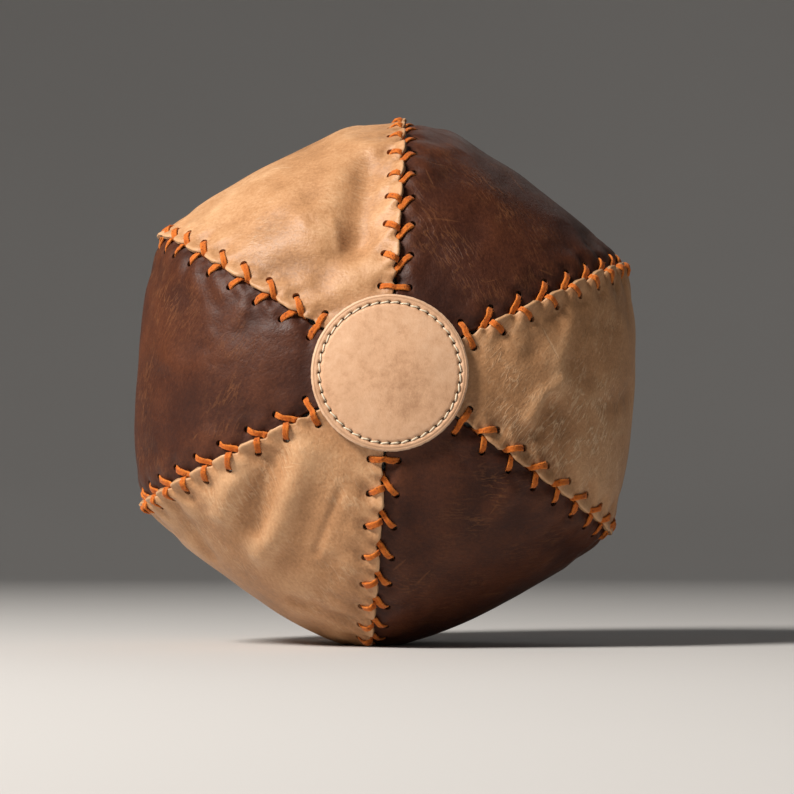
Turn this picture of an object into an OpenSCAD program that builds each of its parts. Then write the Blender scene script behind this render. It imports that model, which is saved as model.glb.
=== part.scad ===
// Laced leather medicine ball: six leather gores drawn together by six laces, a round
// leather patch at each pole, and a canvas liner packed with textile around a sand pouch.
// The pole axis lies along Y. One seam is near the top, and the ball rests beside the opposite one.

/* [Ball] */
// Radius at the equator over a seam, where two gores meet
corner_r = 140; // [132:1:150]
// Radius at the equator over the middle of a gore
flat_r = 128.5; // [126:0.5:134]
// Half of the distance from pole to pole over the leather
pole_h = 108; // [106:1:112]
// Radius of the rim arc of a gore's profile
rim_r = 103; // [98:1:104]
// Depth of the flat that the ball rests on, measured in from the radius of a seam
rest_cut = 6; // [4:0.5:8]
// Turn about the pole axis, away from a seam straight down
roll = -3.5; // [-5:0.5:5]

/* [Leather] */
// Thickness of the gores
skin_t = 2.2; // [1.8:0.1:2.6]
// Gap between the edges of two gores, which the lace dives through
seam_gap = 1.6; // [1.5:0.1:2]
// Radius of the trimmed tips under the patches
tip_r = 10; // [6:1:20]

/* [Lacing] */
// Width of the lace
lace_w = 3; // [2.6:0.1:3.2]
// Thickness of the lace
lace_t = 1.2; // [1:0.1:1.3]
// Rows of punched holes along a seam
rows = 19; // [15:2:21]
// Distance along the seam from the pole to the first row
first_row = 46; // [44:1:50]
// Distance of a hole from the seam
hole_u = 7.8; // [6:0.2:9]
// Radius of a punched hole
hole_r = 1.8; // [1.75:0.05:2.2]
// How far the lace slants back from a hole to the seam
slant = 8.5; // [7:0.5:10]

/* [Patches] */
// Radius of a pole patch
patch_r = 38; // [37:0.5:40]
// Thickness of a pole patch
patch_t = 2.6; // [2:0.1:3]
// Radius of the stitch line
stitch_r = 34; // [33:0.5:35.5]
// Stitches round a patch
stitches = 44; // [36:1:48]
// Thickness of the waxed thread
thread_t = 0.8; // [0.6:0.1:0.9]

/* [Filling] */
// Depth of the canvas liner under the outer face of the leather
liner_depth = 5.2; // [5:0.1:6]
// Thickness of the canvas
canvas_t = 0.8; // [0.5:0.1:1]
// Depth to which the liner's seam allowances are turned in
allowance_depth = 14; // [12:1:18]
// Radius of the sand pouch in the middle
pouch_r = 45; // [35:1:55]
// Radius of the pouch's tied neck
neck_r = 9; // [7:0.5:12]
// Height of the gathered cloth above the tie
neck_h = 22; // [18:1:28]

/* [Hidden] */
GORE_NAMES = ["right", "upper_right", "upper_left", "left", "lower_left", "lower_right"];
SEAM_NAMES = ["upper_right", "top", "upper_left", "lower_left", "bottom", "lower_right"];
$fn = 64;

step_a = 60;                    // from one seam to the next
half_a = step_a / 2;
bottom_seam = 4;                // place in SEAM_NAMES, and in GORE_NAMES of the gore before that seam
centre_z = corner_r - rest_cut; // height of the ball's centre
clear = 0.1;                    // between pieces that lie on each other
far = 400;                      // longer than anything in the ball

// A gore is turned about an axis that is parallel to the pole axis, axis_d beyond it.
axis_d = (pow(corner_r, 2) - pow(flat_r, 2)) / (2 * (flat_r - corner_r * cos(half_a)));
// The profile is an arc over the pole and a smaller arc round the rim, tangent to it.
crown_r = (pow(flat_r, 2) + pow(pole_h, 2) - 2 * flat_r * rim_r) / (2 * (pole_h - rim_r));
join_a = asin((flat_r - rim_r) / (crown_r - rim_r));

// Depths under the outer face of the leather
lace_lift = 0.25;               // gap between an arm of the lace and the face
lace_top = -(lace_t / 2 + lace_lift);
lace_under = skin_t + lace_t / 2 + clear;
lace_floor = lace_t / 2 + 0.05; // the lowest that the middle of a lace lies over the floor
dive_gap = lace_w / 2 + 0.8;    // half of the distance between the two dives of a row
arm_turn = 0.65;                // part of the way to the seam at which an arm starts to turn
tail_l = 9;                     // length of the lace's two ends under the leather
slope_step = 0.5;               // degrees to each side, to find a direction along the seam
mitre_limit = 0.5;              // keeps sharp bends of the lace from growing long corners
groove_gap = 0.3;               // beside a lace that is pressed into the leather
groove_h = 6;                   // deeper than the pressed-in lace

gore_core = 3;      // how far a gore's solid reaches past the pole axis before it is trimmed
punch_over = 1;     // how far a punch starts over the lace and ends below it
liner_gap = 0.05;   // from the seam plane to the liner

// A stitch goes down past the leather through two holes
thread_gap = 0.08;  // from half a pitch to a stitch's end
thread_leg = 0.5;   // width of the two legs of a stitch
thread_under = 2.4; // depth of a stitch below the leather
thread_low = 12;    // depth to which the thread's holes are made, under the pole
thread_bore_h = 20;
thread_spread = 3;  // degrees past the seam plane, so that holes near it are whole

tie_h = 6;          // height of the pouch's tie over the round of the pouch
tie_t = 3;          // thickness of the tie
tie_out = 0.4;      // part of the tie's thickness that lies outside the neck
cloth_t = 1;        // thickness of the pouch's cloth

tan_leather = [0.76, 0.58, 0.38];
brown_leather = [0.34, 0.18, 0.11];
lace_leather = [0.85, 0.43, 0.12];
patch_leather = [0.87, 0.70, 0.54];

// ---- geometry of the skin, with the pole axis on Z and the bottom seam towards -Y ----

function gore_angle(i) = i * step_a + roll;
function seam_angle(i) = gore_angle(i) + half_a;
function unit(v) = v / norm(v);
function turn(p, a) = [p.x * cos(a) - p.y * sin(a), p.x * sin(a) + p.y * cos(a), p.z];

// Distance out from the pole axis over the middle of a gore, at normal angle a
function profile_r(a, k) =
    a < join_a || a > 180 - join_a ? (crown_r - k) * sin(a)
    : flat_r - rim_r + (rim_r - k) * sin(a);
function profile_z(a, k) =
    a < join_a ? pole_h - crown_r + (crown_r - k) * cos(a)
    : a > 180 - join_a ? crown_r - pole_h + (crown_r - k) * cos(a)
    : (rim_r - k) * cos(a);

// Angle about a gore's own axis at which it meets the seam plane
function seam_turn(rho) = half_a - asin(axis_d * sin(half_a) / rho);

// Point on a gore at turn b about its own axis, in that gore's frame, k under the face
function gore_point(a, b, k) =
    let (rho = axis_d + profile_r(a, k))
    [rho * cos(b) - axis_d, rho * sin(b), profile_z(a, k)];

// The resting flat lifts what would lie lower than it does
function lifted(p, low) = [p.x, max(p.y, low - centre_z), p.z];

function skin(seam, side, a, u, k) =
    let (rho = axis_d + profile_r(a, 0),
         b = seam_turn(rho) - u / rho * 180 / PI,
         p = gore_point(a, -side * b, k))
    lifted(turn(p, gore_angle(seam + (side > 0 ? 1 : 0))), max(k, lace_floor));

function seam_dir(seam) = turn([1, 0, 0], seam_angle(seam));
function ridge(a) = turn(gore_point(a, seam_turn(axis_d + profile_r(a, 0)), 0), -half_a);
function ridge_normal(a) = let (t = ridge(a + slope_step) - ridge(a - slope_step)) unit([-t.z, 0, t.x]);
function seam_point(seam, a, k) =
    lifted(turn(ridge(a) - k * ridge_normal(a), seam_angle(seam)), max(k, lace_floor));
function seam_run(seam, a) = unit(turn(ridge(a + slope_step) - ridge(a - slope_step), seam_angle(seam)));

// Normal angle for a distance along the seam from the pole
ridge_steps = 180;
ridge_table = [
    for (i = 0, s = 0; i <= ridge_steps;
         i = i + 1, s = s + norm(ridge(i * 180 / ridge_steps) - ridge((i - 1) * 180 / ridge_steps)))
    [s, i * 180 / ridge_steps]
];
seam_length = ridge_table[ridge_steps][0];
row_pitch = (seam_length - 2 * first_row) / (rows - 1);
function angle_at(s) = lookup(s, ridge_table);
function row_s(n) = first_row + n * row_pitch;

// ---- the lace: a list of [point, width direction], one for each bend ----

function across(seam, a, d) =
    let (t = seam_run(seam, a),
         o = cross(seam_dir(seam), [0, 0, 1]) * -1,
         n = cross(t, o),
         w = cross(n, unit(d)))
    unit(w * t + w * o / 2 < 0 ? -w : w);

// Up through a hole, over to the seam and down through the gap, from and to under-runs
function arm(seam, side, n, from_s) =
    let (a = angle_at(row_s(n)),
         dive = angle_at(row_s(n) - slant + side * dive_gap),
         low = skin(seam, side, a, hole_u, lace_under),
         high = skin(seam, side, a, hole_u, lace_top),
         over = seam_point(seam, dive, lace_top),
         start = seam_point(seam, angle_at(from_s), lace_under),
         lay = across(seam, a, over - high),
         run = seam_run(seam, dive))
    [
        [low, across(seam, a, low - start)],
        [high, lay],
        [high + arm_turn * (over - high), lay],
        [over, run],
        [seam_point(seam, dive, lace_under), run]
    ];

// A straight bar across the seam, with the lace's tail under the leather before or after it
function bar(seam, n, first, tail) =
    let (a = angle_at(row_s(n)), s = row_s(n), run = seam_run(seam, a),
         o = across(seam, a, run),
         low = [skin(seam, first, a, hole_u, lace_under), o],
         last = [skin(seam, -first, a, hole_u, lace_under), o],
         end = [skin(seam, tail, angle_at(s + tail_l * sign(rows / 2 - n)), hole_u, lace_under), o],
         loop = [
             low,
             [skin(seam, first, a, hole_u, lace_top), run],
             [seam_point(seam, a, lace_top), run],
             [skin(seam, -first, a, hole_u, lace_top), run],
             last
         ])
    tail == first ? concat([end], loop) : concat(loop, [end]);

function lace_route(seam) = concat(
    bar(seam, 0, 1, 1),
    [for (n = [1:rows - 2]) each concat(
        arm(seam, -1, n, n == 1 ? row_s(0) : row_s(n - 1) - slant + dive_gap),
        arm(seam, 1, n, row_s(n) - slant - dive_gap))],
    bar(seam, rows - 1, -1, 1)
);

// Sweeps a flat strip along the route, mitred at each bend
module strip(route, w, t) {
    last = len(route) - 1;
    rings = [
        for (i = [0:last])
        let (p = route[i][0],
             before = unit(p - route[max(i - 1, 0)][0] + (i == 0 ? route[1][0] - p : [0, 0, 0])),
             after = unit(route[min(i + 1, last)][0] - p + (i == last ? p - route[i - 1][0] : [0, 0, 0])),
             mid = unit(before + after),
             side = unit(route[i][1] - (route[i][1] * mid) * mid),
             thick = cross(mid, side) / max(mid * after, mitre_limit))
        [for (c = [[-1, -1], [1, -1], [1, 1], [-1, 1]])
            lifted(p + side * c.x * w / 2 + thick * c.y * t / 2, lace_floor - t / 2)]
    ];
    polyhedron(
        points = [for (r = rings) each r],
        faces = concat(
            [[3, 2, 1, 0], [for (c = [0:3]) 4 * last + c]],
            [for (i = [0:last - 1]) for (c = [0:3]) let (d = (c + 1) % 4)
                each [[4 * i + c, 4 * i + d, 4 * i + 4 + d], [4 * i + c, 4 * i + 4 + d, 4 * i + 4 + c]]]
        )
    );
}

// ---- solids ----

// Turns the pole axis to face the front and stands the ball on its flat
module placed() translate([0, 0, centre_z]) rotate([90, 0, 0]) children();

profile_steps = 30;

// One sixth of the ball, k under the outer face, its sides gap back from the seam planes
module sector(i, k, gap) {
    outline = [for (j = [0:profile_steps]) let (a = j * 180 / profile_steps)
        [axis_d + profile_r(a, k), profile_z(a, k)]];
    inner_x = axis_d - gore_core;
    corner = gap / sin(half_a);
    rotate(gore_angle(i)) intersection() {
        translate([-axis_d, 0, 0]) rotate(-45) rotate_extrude(angle = 90)
            polygon(concat([[inner_x, outline[0].y]], outline, [[inner_x, outline[profile_steps].y]]));
        linear_extrude(far, center = true)
            polygon([[corner, 0], [far * cos(half_a), far * sin(half_a) - gap],
                     [far * cos(half_a), gap - far * sin(half_a)]]);
        if (i >= bottom_seam)
            rotate(-gore_angle(i)) translate([-far / 2, k - centre_z, -far / 2]) cube(far);
    }
}

module drill(p, q, r) {
    d = unit(q - p);
    turned = acos(d.z);
    spin = atan2(d.y, d.x);
    translate(p - punch_over * d) rotate([0, turned, spin])
        cylinder(h = norm(q - p) + 2 * punch_over, r = r);
}

// The holes along one edge of a gore
module lace_holes(seam, side)
    for (n = [0:rows - 1]) {
        a = angle_at(row_s(n));
        over = skin(seam, side, a, hole_u, lace_top - punch_over);
        drill(over, skin(seam, side, a, hole_u, lace_under), hole_r);
    }

// Where the ball rests, the arms of the lace are pressed into the leather
module lace_grooves(side)
    for (n = [1:rows - 2]) {
        route = arm(bottom_seam, side, n, row_s(n));
        high = route[1][0];
        over = route[3][0];
        flat_y = lace_floor - centre_z + clear / 10;
        if (high.y < flat_y || over.y < flat_y) {
            x = unit(over - high);
            y = unit(cross([0, -1, 0], x));
            z = cross(x, y);
            multmatrix([for (k = [0:2]) [x[k], y[k], z[k], high[k]]])
                translate([0, -lace_w / 2 - groove_gap, -(lace_t + groove_gap) / 2])
                    cube([norm(over - high) + 2 * punch_over, lace_w + 2 * groove_gap, groove_h]);
        }
    }

module stitch_places(end)
    for (n = [0:stitches - 1]) rotate(n * 360 / stitches) mirror([0, 0, end < 0 ? 1 : 0])
        translate([stitch_r, 0, 0]) children();

module thread_holes(end)
    stitch_places(end) translate([0, 0, pole_h - thread_low])
        cylinder(h = thread_bore_h, r = thread_t, $fn = 24);

module panel(i) {
    color(i % 2 == 0 ? tan_leather : brown_leather) placed() difference() {
        sector(i, 0, seam_gap / 2);
        sector(i, skin_t, -1);
        cylinder(h = far, r = tip_r, center = true);
        lace_holes(i, -1);
        lace_holes((i + 5) % 6, 1);
        if (i == bottom_seam) lace_grooves(-1);
        if (i == bottom_seam + 1) lace_grooves(1);
        for (end = [1, -1]) intersection() {
            thread_holes(end);
            rotate(gore_angle(i)) linear_extrude(far, center = true)
                polygon([[0, 0], for (s = [1, -1]) [far, s * far * tan(half_a + thread_spread)]]);
        }
    }
}

module lace(seam) color(lace_leather) placed() strip(lace_route(seam), lace_w, lace_t);

// Height of the face over a seam, which is the highest line round the pole
function crown_z(r) = let (x = norm([axis_d + r * cos(half_a), r * sin(half_a)]) - axis_d)
    pole_h - crown_r + sqrt(pow(crown_r, 2) - pow(x, 2));

module patch(end) {
    steps = 8;
    top_edge = 0.6; // the worn round of the upper edge
    line = [for (i = [0:steps]) let (r = patch_r * i / steps) [r, crown_z(r) + clear]];
    low = line[steps];
    outline = concat(
        line,
        [[low.x, low.y + patch_t - top_edge]],
        [for (i = [steps:-1:0]) [i == steps ? line[i].x - top_edge : line[i].x, line[i].y + patch_t]]
    );
    color(patch_leather) placed() difference() {
        mirror([0, 0, end < 0 ? 1 : 0]) rotate_extrude() polygon(outline);
        thread_holes(end);
    }
}

// Each stitch is a closed loop of thread through two neighbouring holes
module patch_thread(end) {
    length = 2 * (stitch_r * sin(180 / stitches) - thread_gap);
    high = crown_z(stitch_r) + patch_t + thread_t + 2 * clear;
    low = crown_z(stitch_r) - skin_t - thread_under;
    color([0.93, 0.91, 0.85]) placed() rotate(180 / stitches) stitch_places(end)
        translate([-thread_t / 2, 0, 0]) rotate([90, 0, 90]) linear_extrude(thread_t) difference() {
            translate([-length / 2, low]) square([length, high - low]);
            translate([thread_leg - length / 2, low + thread_t])
                square([length - 2 * thread_leg, high - low - 2 * thread_t]);
        }
}

// A canvas gore with its two seam allowances turned in
module liner(i) color([0.85, 0.82, 0.73]) placed() difference() {
    sector(i, liner_depth, liner_gap);
    sector(i, liner_depth + canvas_t, canvas_t + liner_gap);
    sector(i, allowance_depth, -1);
}

module pouch_shape(grow) {
    sphere(r = pouch_r + grow);
    cylinder(h = pouch_r + neck_h + grow, r = neck_r + grow);
}

// Textile scraps fill the liner in two halves, with the pouch laid between them
module packing(end) {
    depth = liner_depth + canvas_t + clear;
    slot = 2 * canvas_t + 4 * clear;
    color([0.55, 0.55, 0.57]) placed() difference() {
        round_body(depth);
        difference() {
            for (j = [0:2]) rotate(seam_angle(j)) cube([far, slot, far], center = true);
            round_body(allowance_depth + clear);
        }
        rotate([-90, 0, 0]) pouch_shape(clear);
        rotate([-90, 0, 0]) translate([0, 0, pouch_r + tie_h]) tie_ring(clear);
        translate([0, 0, -end * (far - clear) / 2]) cube(far, center = true);
    }
}

// The shape that a gore's middle line sweeps round the pole axis, k under the outer face
module round_body(k) rotate_extrude() polygon(
    [for (j = [0:profile_steps]) let (a = j * 180 / profile_steps) [profile_r(a, k), profile_z(a, k)]]);

module tie_ring(grow)
    rotate_extrude() translate([neck_r + tie_out * tie_t, 0]) circle(r = tie_t / 2 + grow, $fn = 24);

module pouch_cloth() color([0.80, 0.76, 0.66]) placed() rotate([-90, 0, 0]) difference() {
    pouch_shape(0);
    sphere(r = pouch_r - cloth_t);
    translate([0, 0, pouch_r + tie_h]) tie_ring(clear);
}

module pouch_sand() color([0.76, 0.68, 0.50]) placed() sphere(r = pouch_r - cloth_t - clear);

module pouch_tie() color([0.70, 0.64, 0.52])
    placed() rotate([-90, 0, 0]) translate([0, 0, pouch_r + tie_h]) tie_ring(0);

for (i = [0:5]) {
    panel(i);
    lace(i);
    liner(i);
}
patch(1);  // patch_front
patch(-1);  // patch_back
patch_thread(1);  // patch_thread_front
patch_thread(-1);  // patch_thread_back
packing(1);  // packing_front
packing(-1);  // packing_back
pouch_cloth();
pouch_sand();
pouch_tie();
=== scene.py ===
import math

import bpy
import numpy as np
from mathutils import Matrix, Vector


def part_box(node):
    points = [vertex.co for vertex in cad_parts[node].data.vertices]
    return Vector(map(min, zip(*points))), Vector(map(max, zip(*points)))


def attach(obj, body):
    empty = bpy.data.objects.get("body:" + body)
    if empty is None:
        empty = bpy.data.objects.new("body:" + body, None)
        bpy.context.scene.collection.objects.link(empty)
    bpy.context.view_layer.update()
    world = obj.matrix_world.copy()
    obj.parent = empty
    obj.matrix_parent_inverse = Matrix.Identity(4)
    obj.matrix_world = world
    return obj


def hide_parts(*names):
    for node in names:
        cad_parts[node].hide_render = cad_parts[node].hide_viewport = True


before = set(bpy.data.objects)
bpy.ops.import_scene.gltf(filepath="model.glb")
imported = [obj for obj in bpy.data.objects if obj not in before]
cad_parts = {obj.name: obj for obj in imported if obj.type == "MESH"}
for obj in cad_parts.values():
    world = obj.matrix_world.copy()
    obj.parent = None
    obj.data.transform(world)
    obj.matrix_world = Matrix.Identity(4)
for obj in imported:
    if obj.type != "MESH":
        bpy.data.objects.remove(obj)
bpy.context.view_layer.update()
mm = 0.001

# The ball's shape, in millimetres, with the pole axis on Z and the front pole at +Z.
ball = {
    "flatR": 128.5,       # at the equator, over the middle of a gore
    "cornerR": 140.0,     # at the equator, over a seam
    "poleH": 108.0,
    "rimR": 103.0,        # arc round the rim
    "roll": -3.5,         # degrees that the seams are turned about the pole axis
    "seamGap": 0.8,       # from the seam plane to a gore's edge
    "skinT": 2.2,
    "tipR": 10.0,         # where the tips are trimmed, under the patches
    "floorGap": 0.3,      # leather to floor where the ball rests
}
lacing = {
    "rows": 19,
    "firstRow": 46.0,     # along the seam from a pole
    "out": 7.8,           # from the seam to a hole
    "holeR": 1.8,
    "slant": 8.5,         # how far an arm slants back from its hole to the seam
    "diveGap": 2.3,       # half of the distance between the two dives of a row
    "longSide": [1, -1, -1, -1, 1, 1],  # the side of each seam whose arms are the longer ones
    "width": 3.0,
    "thick": 1.2,
}
goreNames = ["right", "upper_right", "upper_left", "left", "lower_left", "lower_right"]
seamNames = ["upper_right", "top", "upper_left", "lower_left", "bottom", "lower_right"]
patchLow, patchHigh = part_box("patch_front")
centreZ = (patchLow.z + patchHigh.z) / 2 / mm

halfTurn = math.radians(30)
axisD = (ball["cornerR"] ** 2 - ball["flatR"] ** 2) / (
    2 * (ball["flatR"] - ball["cornerR"] * math.cos(halfTurn)))
crownR = (ball["flatR"] ** 2 + ball["poleH"] ** 2 - 2 * ball["flatR"] * ball["rimR"]) / (
    2 * (ball["poleH"] - ball["rimR"]))
joinAngle = math.asin((ball["flatR"] - ball["rimR"]) / (crownR - ball["rimR"]))
crownArc = crownR * joinAngle
goreLength = 2 * crownArc + ball["rimR"] * (math.pi - 2 * joinAngle)


# the smooth skin that everything is laid on

def profile(angle):
    over, under = angle < joinAngle, angle > math.pi - joinAngle
    radius = np.where(over | under, crownR * np.sin(angle),
                      ball["flatR"] - ball["rimR"] + ball["rimR"] * np.sin(angle))
    height = np.where(over, ball["poleH"] - crownR + crownR * np.cos(angle),
                      np.where(under, crownR - ball["poleH"] + crownR * np.cos(angle),
                               ball["rimR"] * np.cos(angle)))
    return radius, height


def angleAlong(s):  # for a distance along a gore's middle line
    s = np.asarray(s, float)
    return np.where(s < crownArc, s / crownR,
                    np.where(s > goreLength - crownArc, math.pi - (goreLength - s) / crownR,
                             joinAngle + (s - crownArc) / ball["rimR"]))


def alongAngle(angle):
    angle = np.asarray(angle, float)
    return np.where(angle < joinAngle, angle * crownR,
                    np.where(angle > math.pi - joinAngle, goreLength - (math.pi - angle) * crownR,
                             crownArc + (angle - joinAngle) * ball["rimR"]))


def seamTurn(rho):  # turn about a gore's own axis at which it meets the seam plane
    return halfTurn - np.arcsin(axisD * math.sin(halfTurn) / rho)


def gorePoint(angle, turn):
    radius, height = profile(angle)
    rho = axisD + radius
    place = np.stack([rho * np.cos(turn) - axisD, rho * np.sin(turn), height + 0 * turn], -1)
    out = np.sin(angle)
    return place, np.stack([out * np.cos(turn), out * np.sin(turn), np.cos(angle) + 0 * turn], -1)


def spun(points, degrees):
    c, s = math.cos(math.radians(degrees)), math.sin(math.radians(degrees))
    x, y, z = points[..., 0], points[..., 1], points[..., 2]
    return np.stack([x * c - y * s, x * s + y * c, z], -1)


def goreAngle(i):
    return i * 60 + ball["roll"]


def inRoom(points):  # from the pole frame in millimetres to the room in metres
    x, y, z = points[..., 0], points[..., 1], points[..., 2]
    return np.stack([x, -z, y + centreZ], -1) * mm


def unit(v):
    return v / np.maximum(np.linalg.norm(v, axis=-1, keepdims=True), 1e-9)


def smooth(low, high, x):
    x = np.clip((x - low) / (high - low), 0, 1)
    return x * x * (3 - 2 * x)


ridgeAngles = np.linspace(0, math.pi, 1441)
ridgeRadius, ridgeHeight = profile(ridgeAngles)
ridgeOut = (axisD + ridgeRadius) * np.sin(seamTurn(axisD + ridgeRadius)) / math.sin(halfTurn)
ridgeRun = np.concatenate([[0], np.cumsum(np.hypot(np.diff(ridgeOut), np.diff(ridgeHeight)))])
rowPitch = (ridgeRun[-1] - 2 * lacing["firstRow"]) / (lacing["rows"] - 1)
rowRun = lacing["firstRow"] + rowPitch * np.arange(lacing["rows"])
notchRun = rowRun - lacing["slant"] - lacing["diveGap"] * 0.5
notchRun[[0, -1]] = rowRun[[0, -1]]  # the first and last stitches are straight bars


def seamRun(angle):
    return np.interp(angle, ridgeAngles, ridgeRun)


def seamAngle(run):
    return np.interp(run, ridgeRun, ridgeAngles)


def crownZ(r):  # height of the skin over a seam, which is the highest line round the pole
    x = np.hypot(axisD + r * math.cos(halfTurn), r * math.sin(halfTurn)) - axisD
    return ball["poleH"] - crownR + np.sqrt(crownR ** 2 - x ** 2)


def ripples(points, size, count, seed):  # soft unevenness: waves in many directions
    rng = np.random.default_rng(seed)
    total = np.zeros(points.shape[:-1])
    for _ in range(count):
        way = unit(rng.normal(size=3))
        total += np.sin(points @ way * 2 * math.pi / (size * rng.uniform(0.7, 1.5)) + rng.uniform(0, 6.3))
    return total / math.sqrt(count / 2)


# meshes

def meshObject(name, points, faces, finish):
    mesh = bpy.data.meshes.new(name)
    mesh.from_pydata([tuple(p) for p in points], [], [tuple(f) for f in faces])
    mesh.update()
    made = bpy.data.objects.new(name, mesh)
    bpy.context.scene.collection.objects.link(made)
    if finish is not None:
        mesh.materials.append(finish)
    return made


def gridQuads(number):
    return np.stack([number[:-1, :-1], number[1:, :-1], number[1:, 1:], number[:-1, 1:]], -1).reshape(-1, 4)


def slab(name, outer, inner, finish):  # a sheet with an underside and a wall round its edge
    rows, cols = outer.shape[:2]
    number = np.arange(rows * cols).reshape(rows, cols)
    quads = gridQuads(number)
    rim = np.concatenate([number[:, 0], number[-1, 1:], number[-2::-1, -1], number[0, -2:0:-1]])
    beside = np.roll(rim, -1)
    wall = np.stack([rim, beside, beside + rows * cols, rim + rows * cols], -1)[:, ::-1]
    points = inRoom(np.concatenate([outer.reshape(-1, 3), inner.reshape(-1, 3)]))
    faces = np.concatenate([quads, quads[:, ::-1] + rows * cols, wall])
    return meshObject(name, points, faces.tolist(), finish)


def turnedFaces(rows, around):  # rings round the pole axis, closed to a point at each end
    number = np.arange(rows * around).reshape(rows, around)
    beside = np.roll(number, -1, axis=1)
    faces = np.stack([number[:-1], number[1:], beside[1:], beside[:-1]], -1).reshape(-1, 4).tolist()
    faces += [(rows * around, number[0, j], beside[0, j]) for j in range(around)]
    return faces + [(rows * around + 1, beside[-1, j], number[-1, j]) for j in range(around)]


def paint(mesh, name, values, domain="POINT"):
    layer = mesh.attributes.new(name, "FLOAT", domain)
    layer.data.foreach_set("value", np.ascontiguousarray(values, np.float32).ravel())


def paintWay(mesh, name, ways):  # directions in the pole frame
    layer = mesh.attributes.new(name, "FLOAT_VECTOR", "POINT")
    layer.data.foreach_set("vector", np.stack([ways[:, 0], -ways[:, 2], ways[:, 1]], -1).ravel())


def standFor(piece, node):
    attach(piece, "root")
    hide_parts(node)


# node trees

def plug(tree, made, values):  # links the sockets among the values and sets the rest
    for key, value in values.items() if isinstance(values, dict) else enumerate(values):
        value = value.socket if isinstance(value, Wire) else value
        if isinstance(value, bpy.types.NodeSocket):
            tree.links.new(value, made.inputs[key])
        elif value is not None:
            made.inputs[key].default_value = value


class Wire:
    # a socket whose sums are written as expressions
    def __init__(self, finish, socket):
        self.finish, self.socket = finish, socket

    def calc(self, operation, *values, clamp=False):
        return self.finish.node("ShaderNodeMath", {"operation": operation, "use_clamp": clamp}, values)

    def __add__(self, other):
        return self.calc("ADD", self, other)

    __radd__ = __add__

    def __sub__(self, other):
        return self.calc("SUBTRACT", self, other)

    def __rsub__(self, other):
        return self.calc("SUBTRACT", other, self)

    def __mul__(self, other):
        return self.calc("MULTIPLY", self, other)

    __rmul__ = __mul__

    def __truediv__(self, other):
        return self.calc("DIVIDE", self, other)

    def lines(self, width):  # thin winding lines where a noise crosses its middle
        return self.calc("SUBTRACT", 1.0, self.calc("ABSOLUTE", self - 0.5) / width, clamp=True)

    def clamped(self):
        return self.calc("ADD", self, 0.0, clamp=True)

    def band(self, low, high):  # 0 below low, 1 above high, smooth between
        values = {"Value": self, "From Min": low, "From Max": high}
        return self.finish.node("ShaderNodeMapRange", {"interpolation_type": "SMOOTHSTEP"}, values)


class Finish:
    # one material and its nodes
    def __init__(self, name):
        self.material = bpy.data.materials.new(name)
        self.material.use_nodes = True
        self.tree = self.material.node_tree
        self.tree.nodes.clear()
        self.shader = self.tree.nodes.new("ShaderNodeBsdfPrincipled")
        output = self.tree.nodes.new("ShaderNodeOutputMaterial")
        self.tree.links.new(self.shader.outputs[0], output.inputs[0])
        self.place = self.node("ShaderNodeTexCoord", out="Object")

    def node(self, kind, settings=None, values=(), out=0):
        made = self.tree.nodes.new(kind)
        for key, value in (settings or {}).items():
            if key == "stops":
                self.setRamp(made.color_ramp, value)
            else:
                setattr(made, key, value)
        plug(self.tree, made, values)
        return Wire(self, made.outputs[out])

    def setRamp(self, ramp, stops):
        while len(ramp.elements) < len(stops):
            ramp.elements.new(0.5)
        for element, (position, colour) in zip(ramp.elements, stops):
            element.position = position
            element.color = (*colour, 1)

    def noise(self, size, detail=4, rough=0.55, where=None):
        values = {"Vector": where or self.place, "Scale": 1 / size, "Detail": detail, "Roughness": rough}
        return self.node("ShaderNodeTexNoise", {}, values)

    def cells(self, size, feature="F1", out="Distance", **values):
        given = {"Vector": self.place, "Scale": 1 / size, **values}
        return self.node("ShaderNodeTexVoronoi", {"feature": feature}, given, out)

    def moved(self, where, scale, turn):  # stretches a pattern along its own turned axes
        values = {"Vector": where, "Scale": scale, "Rotation": (0, 0, turn)}
        return self.node("ShaderNodeMapping", {"vector_type": "TEXTURE"}, values)

    def painted(self, name):
        return self.node("ShaderNodeAttribute", {"attribute_name": name}, out="Fac")

    def blend(self, factor, under, over, way="MIX"):
        settings = {"data_type": "RGBA", "blend_type": way, "clamp_factor": True}
        under, over = (c if isinstance(c, Wire) else (*c, 1) for c in (under, over))
        return self.node("ShaderNodeMix", settings, {0: factor, 6: under, 7: over}, out=2)

    def bumped(self, height, depth, strength):
        return self.node("ShaderNodeBump", {}, {"Height": height, "Distance": depth, "Strength": strength})

    def done(self, **sockets):
        plug(self.tree, self.shader, {key.replace("_", " "): value for key, value in sockets.items()})
        return self.material


print("skin and helpers ready")

# materials

leatherLooks = {
    "tan_leather": {
        "deep": (0.225, 0.105, 0.042), "body": (0.455, 0.232, 0.106), "pale": (0.690, 0.415, 0.225),
        "raw": (0.520, 0.310, 0.160), "scratch": (0.84, 0.60, 0.38), "rough": 0.50, "shine": 0.32,
    },
    "brown_leather": {
        "deep": (0.022, 0.0080, 0.0060), "body": (0.052, 0.0160, 0.0085), "pale": (0.120, 0.037, 0.0150),
        "raw": (0.110, 0.050, 0.026), "scratch": (0.30, 0.12, 0.045), "rough": 0.52, "shine": 0.20,
    },
}


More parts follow.
